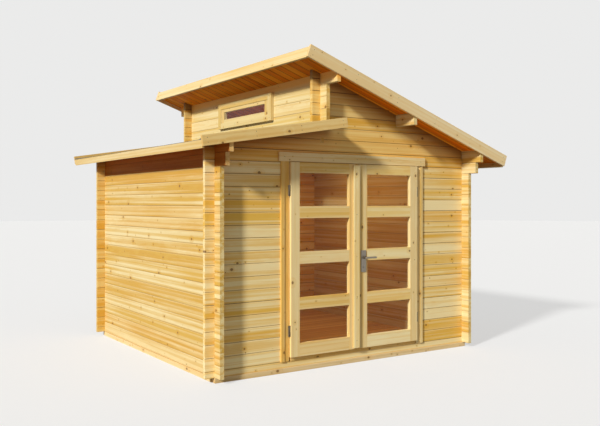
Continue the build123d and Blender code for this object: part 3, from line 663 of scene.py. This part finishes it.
def dress_doorway():
    """Door frame and the board over it. The jambs have upright grain, the head and sill level grain."""
    low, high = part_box("door_frame")
    left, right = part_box("left_leaf_stiles")[0].x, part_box("right_leaf_stiles")[1].x
    jambs = Lay(Z, X, low.x + JAMB_MIDDLE, high.x - low.x - 2 * JAMB_MIDDLE, JAMB_WIDTH)
    cross = Lay(X, Z, low.z + CROSS_MIDDLE, high.z - low.z - 2 * CROSS_MIDDLE, CROSS_WIDTH)
    dress(wood("door_frame", cross, 101.3, JOINERY, other=jambs,
               where=(X, (right + left) / 2, (right - left) / 2 - JAMB_REACH)), "door_frame")
    board = Lay(X, Z, middle_of("door_head_board", Z), width=HEAD_BOARD_WIDTH)
    dress(wood("door_head_board", board, 107.9, JOINERY), "door_head_board")


def dress_leaves():
    """Stiles, rails and cover strip of both leaves."""
    rails = Lay(X, Z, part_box("left_leaf_stiles")[0].z + FIRST_RAIL, RAIL_PITCH, RAIL_WIDTH)
    for side, stile_seed, rail_seed, rail_tones in (("left", 113.7, 119.0, JOINERY),
                                                    ("right", 127.1, 132.4, PALE_JOINERY)):
        name = f"{side}_leaf_stiles"
        low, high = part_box(name)
        uprights = Lay(Z, X, low.x + STILE_MIDDLE, high.x - low.x - STILE_INSETS, STILE_WIDTH)
        dress(wood(name, uprights, stile_seed, JOINERY), name)
        name = f"{side}_leaf_rails"
        dress(wood(name, rails, rail_seed, rail_tones), name)
    strip = Lay(Z, X, middle_of("left_leaf_cover_strip", X), width=COVER_STRIP_WIDTH)
    # The strip's side that faces the lamp is darkened: painted shade
    dress(wood("cover_strip", strip, 139.9, PALE_JOINERY, facing=(-X, STRIP_LIT_SIDE_SHADE)),
          "left_leaf_cover_strip")


def dress_window():
    """Casing and sash of the long window, level members between upright ones."""
    middle = middle_of("window_casing", Z)
    for name, member, seed in (("window_casing", CASING_WIDTH, 151.3),
                               ("window_sash", SASH_WIDTH, 163.7)):
        half = size_of(name, Y) / 2
        height = size_of(name, Z)
        level = Lay(Y, Z, middle - height / 2 + member / 2, height - member, member)
        upright = Lay(Z, Y, -half + member / 2, 2 * half - member, member)
        dress(wood(name, level, seed, CASING, other=upright, where=(Y, 0.0, half - member)), name)


# Roofs and floor

CORNER_DIGITS = 5


def roof_outline(name):
    """Corners of a roof layer in X and Z: bottom left, bottom right, top right, top left."""
    vertices = [v.co for v in nodes[name].data.vertices]
    front = min(co.y for co in vertices)
    corners = sorted({(round(co.x, CORNER_DIGITS), round(co.z, CORNER_DIGITS))
                      for co in vertices if co.y < front + MM})
    left, right = (sorted(pair, key=lambda corner: corner[1]) for pair in (corners[:2], corners[2:]))
    return tuple(Vector((x, 0, z)) for x, z in (left[0], right[0], right[1], left[1]))


def slope_of(name):
    """Unit vectors along a roof layer, to the right, and square off it, upwards."""
    low_left, low_right = roof_outline(name)[:2]
    along = (low_right - low_left).normalized()
    return along, Vector((-along.z, 0, along.x))


def mesh_object(name, bm, material, body="cabin", replaces=()):
    """Object from a bmesh that rides on a body."""
    mesh = bpy.data.meshes.new(name)
    bmesh.ops.recalc_face_normals(bm, faces=bm.faces)
    bm.to_mesh(mesh)
    bm.free()
    for one in material if isinstance(material, tuple) else (material,):
        mesh.materials.append(one)
    made = bpy.data.objects.new(name, mesh)
    bpy.context.scene.collection.objects.link(made)
    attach(made, body)
    if replaces:
        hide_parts(*replaces)


def add_prism(bm, rings, finish=0):
    """Solid whose sides join the given rings of points, closed at the first and last one."""
    loops = [[bm.verts.new(p) for p in ring] for ring in rings]
    faces = [bm.faces.new(loops[0]), bm.faces.new(reversed(loops[-1]))]
    for near, far in zip(loops, loops[1:]):
        for i in range(len(near)):
            j = (i + 1) % len(near)
            faces.append(bm.faces.new((near[i], near[j], far[j], far[i])))
    for face in faces:
        face.material_index = finish


def splits(start, end, pitch):
    """Edges of whole pieces about one pitch wide that fill a length."""
    count = max(1, round((end - start) / pitch))
    return [start + (end - start) * n / count for n in range(count + 1)]


def returns_of(node):
    """Stretches where a layer of the low roof runs on past the tall wall to the end of its verge boards.

    Gives each stretch's range in Y, and the layer's bottom and top where they start and where they end.
    """
    _, low, top, _ = roof_outline(node)
    along, square = slope_of(node)
    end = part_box("lower_verge_boards")[1].x - RETURN_SET_BACK
    last = low + along * ((end - low.x) / along.x)
    face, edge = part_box("back_wall")[1].y + MM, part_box(node)[1].y
    return ((-edge, -face), (face, edge)), ((low, top), (last, last + square * (top - low).dot(square)))


def roof_boards(name, node, seed, returns=False):
    """Tongued boards that run down the slope, with a V at each joint on the underside."""
    low_left, low_right, top_right, top_left = roof_outline(node)
    along = slope_of(node)[0]
    bevel = ROOF_BOARD_BEVEL / (top_left - low_left).length
    edges = splits(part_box(node)[0].y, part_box(node)[1].y, ROOF_BOARD)
    zones, ends = returns_of(node) if returns else ((), ())
    luck = random.Random(seed)
    bm = bmesh.new()
    for n, (near, far) in enumerate(zip(edges, edges[1:])):
        first, last = near + HALF_GAP, far - HALF_GAP
        rings = []
        for low, top, way in ((low_left, top_left, 1), (low_right, top_right, -1)):
            slip = along * way * luck.uniform(0, BOARD_SLIP)
            mid = low.lerp(top, bevel)
            points = ((low, near + ROOF_BOARD_BEVEL), (mid, first), (top, first),
                      (top, last), (mid, last), (low, far - ROOF_BOARD_BEVEL))
            rings.append([p + slip + Y * y for p, y in points])
        add_prism(bm, rings, n % 2)
        for zone_near, zone_far in zones:
            y0, y1 = max(first, zone_near), min(last, zone_far)
            if y1 - y0 > LEAST_BOARD:
                add_prism(bm, [[low + Y * y0, top + Y * y0, top + Y * y1, low + Y * y1]
                               for low, top in ends], n % 2)
    pitch = edges[1] - edges[0]
    lay = Lay(along, Y, edges[0] + pitch / 2, pitch, pitch)
    # Both colours are painted warm shade
    finishes = tuple(wood(f"{name}_{n}", lay, seed, tones, joint=1.0, gloss=SOFFIT_GLOSS)
                     for n, tones in enumerate((SOFFIT_PAINTED_SHADE, DARK_SOFFIT_PAINTED_SHADE)))
    mesh_object(name, bm, finishes, replaces=[node])


def floor_boarding():
    """Floor boards that run along the front, with a small bevel at each joint on top."""
    low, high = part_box("floor_boards")
    edges = splits(low.y, high.y, FLOOR_BOARD)
    bm = bmesh.new()
    for near, far in zip(edges, edges[1:]):
        first, last = near + HALF_GAP, far - HALF_GAP
        points = ((first, low.z), (first, high.z - FLOOR_BOARD_BEVEL), (near + FLOOR_BOARD_BEVEL, high.z),
                  (far - FLOOR_BOARD_BEVEL, high.z), (last, high.z - FLOOR_BOARD_BEVEL), (last, low.z))
        add_prism(bm, [[Vector((x, y, z)) for y, z in points] for x in (low.x, high.x)])
    pitch = edges[1] - edges[0]
    lay = Lay(X, Y, low.y + pitch / 2, pitch, pitch)
    material = wood("floor_boarding", lay, 181.9, FLOOR_BOARDS, joint=0.85)
    mesh_object("floor_boarding", bm, material, replaces=["floor_boards"])


# Felt

FELT_DARK = (0.030, 0.031, 0.033)
FELT_LIGHT = (0.115, 0.117, 0.120)
FELT_FLECK = (0.30, 0.30, 0.29)
FELT_WORN = (0.035, 0.036, 0.038)
GRIT_FINE = 520
FLECK_SHARE = (0.86, 0.9)
WORN_FINE = 2.2
WORN_DETAIL = 4
WORN_MOST = 0.35
FELT_ROUGHNESS = (0.72, 0.98)
FELT_BUMP_DEPTH = 0.0012
FELT_BUMP_STRENGTH = 0.8


def felt_material():
    """Bitumen felt with mineral grit, pale flecks in it, and darker worn patches."""
    material, t, shader = new_material("roof_felt")
    place = t.node("ShaderNodeTexCoord").outputs["Object"]
    grit = t.node("ShaderNodeTexVoronoi", voronoi_dimensions="3D", feature="F1")
    t.feed(grit.inputs["Vector"], place)
    grit.inputs["Scale"].default_value = GRIT_FINE
    grain = t.split(grit.outputs["Color"])
    colour = t.mix(grain[0], FELT_DARK, FELT_LIGHT)
    colour = t.mix(t.step(grain[1], *FLECK_SHARE), colour, FELT_FLECK)
    worn = t.level(t.noise(place, WORN_FINE, WORN_DETAIL), 0.0, WORN_MOST)
    colour = t.mix(worn, colour, FELT_WORN)
    t.feed(shader.inputs["Base Color"], colour)
    t.feed(shader.inputs["Roughness"], t.step(grain[2], 0.0, 1.0, *FELT_ROUGHNESS))
    t.feed(shader.inputs["Normal"], t.bump(grit.outputs["Distance"], FELT_BUMP_DEPTH, FELT_BUMP_STRENGTH))
    return material


def felt_strips(node):
    """Where the felt starts at the eave, the way up the slope, and where each strip starts and ends."""
    low_left, low_right = roof_outline(node)[:2]
    falls_right = slope_of(node)[0].z < 0
    eave, ridge = (low_right, low_left) if falls_right else (low_left, low_right)
    length = (ridge - eave).length
    count = max(1, math.ceil((length - FELT_LAP) / FELT_STRIP))
    pitch = (length - FELT_LAP) / count
    strips = [(n * pitch, min(length, n * pitch + pitch + FELT_LAP)) for n in range(count)]
    return eave, (ridge - eave).normalized(), strips


def felt_edge(y, inwards, upstand):
    """Turned-up edge of the felt at a verge, from outside: its places in Y and its rise there."""
    return [(y, upstand), (y + inwards * UPSTAND_TOP, upstand), (y + inwards * UPSTAND_FOOT, 0.0)]


def felt_sheets(name, node, material, upstand, returns=False):
    """Strips of felt laid along the eave, each over the one below it, turned up at the verges."""
    eave, up, strips = felt_strips(node)
    square = slope_of(node)[1]
    near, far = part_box(node)[0].y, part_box(node)[1].y
    waves = splits(near + UPSTAND_FOOT, far - UPSTAND_FOOT, FELT_WAVE_PITCH)[1:-1]
    bm = bmesh.new()
    for n, (start, end) in enumerate(strips):
        lift = FELT_THICKNESS if n else 0.0
        luck = random.Random(n * FELT_SEED_STEP + FELT_SEED)
        profile = felt_edge(near, 1, upstand)
        profile += [(y, luck.uniform(0.0, FELT_WAVE)) for y in waves]
        profile += reversed(felt_edge(far, -1, upstand))
        rings = []
        for place, raised in ((start, lift), (start + FELT_LAP, lift * LAP_SAG), (end, 0.0)):
            foot = eave + up * place
            top = [foot + square * (raised + rise + FELT_THICKNESS) + Y * y for y, rise in profile]
            bottom = [foot + square * raised + Y * y for y in (far, near)]
            rings.append(top + bottom)
        add_prism(bm, rings)
    zones, ends = returns_of(node) if returns else ((), ())
    for zone_near, zone_far in zones:
        at_near, at_far = zone_near < near + MM, zone_far > far - MM
        profile = felt_edge(zone_near, 1, upstand) if at_near else [(zone_near, 0.0)]
        profile += reversed(felt_edge(zone_far, -1, upstand)) if at_far else [(zone_far, 0.0)]
        add_prism(bm, [[low + square * (rise + FELT_THICKNESS) + Y * y for y, rise in profile]
                       + [low + Y * zone_far, low + Y * zone_near] for low, _ in ends])
    mesh_object(name, bm, material, replaces=[node])


# Verge boards, fascias and the base

def dress_trim():
    """Boards along the edges of the roofs, and the timber under the floor."""
    for name, node, seed, tones in (("upper_verge", "upper_verge_boards", 193.3, HIGH_VERGE),
                                    ("lower_verge", "lower_verge_boards", 199.1, LOW_VERGE)):
        along, square = slope_of(node)
        corners = roof_outline(node)
        middle = sum(corner.dot(square) for corner in corners) / len(corners)
        lay = Lay(along, square, middle, width=(corners[3] - corners[0]).length)
        dress(wood(name, lay, seed, tones, sides=(Y, 0.0)), node)
    low_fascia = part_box("upper_roof_deck")[0].z - FASCIA_DROP
    high_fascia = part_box("fascia_boards")[1].z - FASCIA_WIDTH / 2
    lay = Lay(Y, Z, low_fascia, high_fascia - low_fascia, FASCIA_WIDTH)
    dress(wood("fascias", lay, 211.9, FASCIA, sides=(X, 0.5)), "fascia_boards")
    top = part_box("base_beams")[1]
    side_beams = Lay(Y, Z, top.z / 2, width=top.z)
    front_beams = Lay(X, Z, top.z / 2, width=top.z)
    material = wood("base_timber", side_beams, 223.7, BASE, other=front_beams,
                    where=(Y, 0.0, top.y - BEAM_WIDTH))
    dress(material, "base_beams", "floor_joists")


# Glass and metal

GLASS_TINT = (0.96, 0.975, 0.965)
GLASS_SHADE = (0.93, 0.95, 0.94)
GLASS_IOR = 1.2
FILM_NOISE = (9, 3)
FILM_ROUGHNESS = (0.45, 0.8, 0.0, 0.02)

# Each metal's colour, its roughness, and how fine its brushed lines are along each axis
SATIN_STEEL = ((0.33, 0.29, 0.235), 0.34, (60, 60, 2400))
ZINC_STEEL = ((0.19, 0.16, 0.125), 0.36, (900, 900, 60))
LOCK_BARREL = ((0.30, 0.28, 0.24), 0.36, (500, 500, 500))
BRUSHED_NOISE = (1.0, 3, 0.6)
ROUGHER_LINES = 0.14
METAL_SHADE = 0.72
WEAR_NOISE = (60, 2)
METAL_WEAR = (0.45, 0.75, 0.0, 0.4)
METAL_BUMP_DEPTH = 0.0002
METAL_BUMP_STRENGTH = 0.25


def glass_material():
    """Clear glass that lets light into the cabin, with a faint film on it."""
    material, t, shader = new_material("glass")
    place = t.node("ShaderNodeTexCoord").outputs["Object"]
    t.feed(shader.inputs["Base Color"], GLASS_TINT)
    shader.inputs["Transmission Weight"].default_value = 1
    shader.inputs["IOR"].default_value = GLASS_IOR
    t.feed(shader.inputs["Roughness"], t.step(t.noise(place, *FILM_NOISE), *FILM_ROUGHNESS))
    clear = t.node("ShaderNodeBsdfTransparent")
    t.feed(clear.inputs["Color"], GLASS_SHADE)
    rays = t.node("ShaderNodeLightPath").outputs
    both = t.node("ShaderNodeMixShader")
    t.feed(both.inputs[0], t.maths("MAXIMUM", rays["Is Shadow Ray"], rays["Is Diffuse Ray"]))
    t.feed(both.inputs[1], shader.outputs[0])
    t.feed(both.inputs[2], clear.outputs[0])
    t.feed(t.tree.nodes["Material Output"].inputs["Surface"], both.outputs[0])
    return material


def metal_material(name, colour, rough, fine):
    """Brushed metal: fine lines that run one way, and faint wear."""
    material, t, shader = new_material(name)
    place = t.node("ShaderNodeTexCoord").outputs["Object"]
    stretched = t.node("ShaderNodeMapping")
    stretched.inputs["Scale"].default_value = fine
    t.feed(stretched.inputs["Vector"], place)
    lines = t.noise(stretched.outputs[0], *BRUSHED_NOISE)
    darker = tuple(c * METAL_SHADE for c in colour)
    tone = t.mix(t.level(lines), darker, colour)
    wear = t.step(t.noise(place, *WEAR_NOISE), *METAL_WEAR)
    t.feed(shader.inputs["Base Color"], t.mix(wear, tone, darker))
    shader.inputs["Metallic"].default_value = 1
    t.feed(shader.inputs["Roughness"], t.level(lines, rough, rough + ROUGHER_LINES))
    t.feed(shader.inputs["Normal"], t.bump(lines, METAL_BUMP_DEPTH, METAL_BUMP_STRENGTH))
    return material


def dress_hardware(zinc):
    """Hinges, plates, lever and lock."""
    dress(zinc, "frame_hinges", "left_leaf_hinges", "right_leaf_hinges")
    dress(metal_material("satin_steel", *SATIN_STEEL), "handle_plates", "lever_handle")
    dress(metal_material("lock_barrel", *LOCK_BARREL), "lock_cylinder")


# Fasteners

def heads(name, places, radius, material, body="cabin"):
    """Low domed heads, each given by a point on the surface and the way that it faces."""
    angles = [2 * math.pi * i / HEAD_SIDES for i in range(HEAD_SIDES)]
    bm = bmesh.new()
    for point, facing in places:
        turn = Vector(facing).to_track_quat("Z", "Y").to_matrix().to_4x4()
        turn.translation = Vector(point)
        add_prism(bm, [[turn @ Vector((radius * share * math.cos(a), radius * share * math.sin(a), rise))
                        for a in angles] for share, rise in HEAD_RINGS])
    mesh_object(name, bm, material, body=body)


def spaced(start, end, pitch, inset):
    """Even places between two insets."""
    return splits(start + inset, end - inset, pitch)


def trim_heads(material):
    """Nails in the verge boards, and screws in the head board and the window casing."""
    places = []
    for node in ("upper_verge_boards", "lower_verge_boards"):
        low_left, low_right, _, top_left = roof_outline(node)
        along, square = slope_of(node)
        width = (top_left - low_left).length
        front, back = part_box(node)[0].y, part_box(node)[1].y
        for place in spaced(0, (low_right - low_left).length, *VERGE_NAILS):
            for share in VERGE_NAIL_ROWS:
                spot = low_left + along * place + square * width * share
                places.append((spot + Y * front, -Y))
                places.append((spot + Y * back, Y))
    low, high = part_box("door_head_board")
    for x in spaced(low.x, high.x, *HEAD_BOARD_SCREWS):
        places.append(((x, low.y, (low.z + high.z) / 2), -Y))
    low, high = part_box("window_casing")
    inset = CASING_SCREWS[1]
    for y in spaced(low.y, high.y, *CASING_SCREWS):
        for z in (low.z + inset, high.z - inset):
            places.append(((low.x, y, z), -X))
    heads("trim_nails", places, TRIM_HEAD, material)


def felt_nails(material):
    """Clout nails along the laps of the felt."""
    places = []
    for node in ("upper_roof_felt", "lower_roof_felt"):
        eave, up, strips = felt_strips(node)
        square = slope_of(node)[1]
        for n, (start, _) in enumerate(strips):
            rise = CLOUT_RISE + (FELT_THICKNESS if n else 0.0)
            for y in spaced(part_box(node)[0].y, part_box(node)[1].y, *CLOUT_NAILS):
                places.append((eave + up * (start + CLOUT_FROM_EDGE) + square * rise + Y * y, square))
    heads("felt_nails", places, CLOUT_HEAD, material)


def leaf_screws(material):
    """Screws of the handle plates and of the cover strip."""
    low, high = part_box("handle_plates")
    middle = (low.x + high.x) / 2
    plates = [((middle, y, z), facing) for z in (low.z + PLATE_SCREW_INSET, high.z - PLATE_SCREW_INSET)
              for y, facing in ((low.y, -Y), (high.y, Y))]
    heads("plate_screws", plates, PLATE_HEAD, material, body="right_leaf")
    low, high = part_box("left_leaf_cover_strip")
    middle = (low.x + high.x) / 2
    strip = [((middle, low.y, z), -Y) for z in spaced(low.z, high.z, *STRIP_SCREWS)]
    heads("strip_screws", strip, TRIM_HEAD, material, body="left_leaf")


def soften(*names):
    """Round the sharp edges of CAD nodes with modifiers."""
    for name in names:
        piece = nodes[name]
        weld = piece.modifiers.new("weld", "WELD")
        weld.merge_threshold = WELD_REACH
        flat = piece.modifiers.new("flat", "DECIMATE")
        flat.decimate_type = "DISSOLVE"
        flat.angle_limit = FLAT_ANGLE
        edge = piece.modifiers.new("edge", "BEVEL")
        edge.width = SOFT_EDGE
        edge.segments = SOFT_STEPS
        edge.limit_method = "ANGLE"
        edge.angle_limit = SHARP_ANGLE
        edge.use_clamp_overlap = True


# Studio

FLOOR_RADIUS = 60
FLOOR_SIDES = 64
FLOOR_COLOUR = (0.34, 0.337, 0.33)
FLOOR_GLOW = (0.56, 0.558, 0.552)
FLOOR_ROUGHNESS = 0.9
FLOOR_GLOSS = 0.1
BACKDROP = (0.83, 0.83, 0.825)
KEY_WAY = Vector((-2.58, -1.0, 1.42))
KEY_DISTANCE = 4
KEY_STRENGTH = 3.8
KEY_ANGLE = math.radians(6)
FILL_COLOUR = (1, 1, 1)
FILL_STRENGTH = 0.27
INSIDE_PLACE = (0.45, 0.0, 2.1)
INSIDE_COLOUR = (1.0, 0.64, 0.26)
INSIDE_POWER = 12
INSIDE_SIZE = 1.5


def seen_rays(t):
    """1 for the rays by which the camera, metal and glass see the background."""
    rays = t.node("ShaderNodeLightPath").outputs
    seen = t.maths("MAXIMUM", rays["Is Camera Ray"], rays["Is Glossy Ray"])
    return t.maths("MAXIMUM", seen, rays["Is Transmission Ray"])


def studio_floor():
    """Pale floor that keeps the cabin's shadow."""
    bpy.ops.mesh.primitive_circle_add(vertices=FLOOR_SIDES, radius=FLOOR_RADIUS, fill_type="NGON")
    floor = bpy.context.object
    floor.name = "studio_floor"
    material, t, shader = new_material("studio_floor")
    t.feed(shader.inputs["Base Color"], FLOOR_COLOUR)
    shader.inputs["Roughness"].default_value = FLOOR_ROUGHNESS
    shader.inputs["Specular IOR Level"].default_value = FLOOR_GLOSS
    t.feed(shader.inputs["Emission Color"], FLOOR_GLOW)
    t.feed(shader.inputs["Emission Strength"], seen_rays(t))
    floor.data.materials.append(material)


def add_lamp(name, kind, place, **settings):
    """Lamp of a kind at a place, with the given settings."""
    light = bpy.data.lights.new(name, kind)
    for setting, value in settings.items():
        setattr(light, setting, value)
    lamp = bpy.data.objects.new(name, light)
    lamp.location = place
    bpy.context.scene.collection.objects.link(lamp)
    return lamp


def lamps():
    """A soft lamp where the photograph's light comes from, and a faint warm one inside the cabin."""
    key = add_lamp("key", "SUN", KEY_WAY * KEY_DISTANCE, energy=KEY_STRENGTH, angle=KEY_ANGLE)
    key.rotation_euler = KEY_WAY.to_track_quat("Z", "Y").to_euler()
    inside = add_lamp("inside", "AREA", INSIDE_PLACE, energy=INSIDE_POWER, size=INSIDE_SIZE,
                      color=INSIDE_COLOUR)
    inside.visible_camera = inside.visible_glossy = inside.visible_transmission = False


def backdrop():
    """Even fill from all round, and the pale background that is seen instead of it."""
    world = bpy.data.worlds.new("studio")
    bpy.context.scene.world = world
    world.use_nodes = True
    world.node_tree.nodes.clear()
    t = Tree(world.node_tree)
    seen = seen_rays(t)
    background = t.node("ShaderNodeBackground")
    t.feed(background.inputs["Color"], t.mix(seen, FILL_COLOUR, BACKDROP))
    t.feed(background.inputs["Strength"], t.choose(seen, FILL_STRENGTH, 1.0))
    t.feed(t.node("ShaderNodeOutputWorld").inputs["Surface"], background.outputs[0])
    bpy.context.scene.view_settings.view_transform = "Standard"


# Camera, from the photograph of 600 by 426 pixels

PHOTO_WIDTH = 600
PHOTO_HEIGHT = 426
FOCAL_PIXELS = 741.281
HORIZON_ROW = 202.835
SENSOR_WIDTH = 36
EYE = Vector((-4.454, -7.1305, 1.555))
HEADING = math.radians(33.778)
LEVEL = math.radians(90)


def camera():
    """Level camera with its lens shifted to put the horizon where the photograph has it."""
    lens = bpy.data.cameras.new("camera")
    lens.sensor_width = SENSOR_WIDTH
    lens.lens = FOCAL_PIXELS / PHOTO_WIDTH * SENSOR_WIDTH
    lens.shift_y = (HORIZON_ROW - PHOTO_HEIGHT / 2) / PHOTO_WIDTH
    view = bpy.data.objects.new("camera", lens)
    bpy.context.scene.collection.objects.link(view)
    view.location = EYE
    view.rotation_euler = (LEVEL, 0, -HEADING)
    bpy.context.scene.camera = view


dress_walls()
dress_doorway()
dress_leaves()
dress_window()
roof_boards("upper_roof_boards", "upper_roof_deck", 229.3)
roof_boards("lower_roof_boards", "lower_roof_deck", 241.7, returns=True)
floor_boarding()
felt = felt_material()
felt_sheets("upper_felt_sheets", "upper_roof_felt", felt, HIGH_UPSTAND)
felt_sheets("lower_felt_sheets", "lower_roof_felt", felt, LOW_UPSTAND, returns=True)
dress_trim()
dress(glass_material(), "window_glass", "left_leaf_glass", "right_leaf_glass")
zinc_steel = metal_material("zinc_steel", *ZINC_STEEL)
dress_hardware(zinc_steel)
trim_heads(zinc_steel)
felt_nails(zinc_steel)
leaf_screws(zinc_steel)
soften(*SOFT_NODES)
studio_floor()
lamps()
backdrop()
camera()
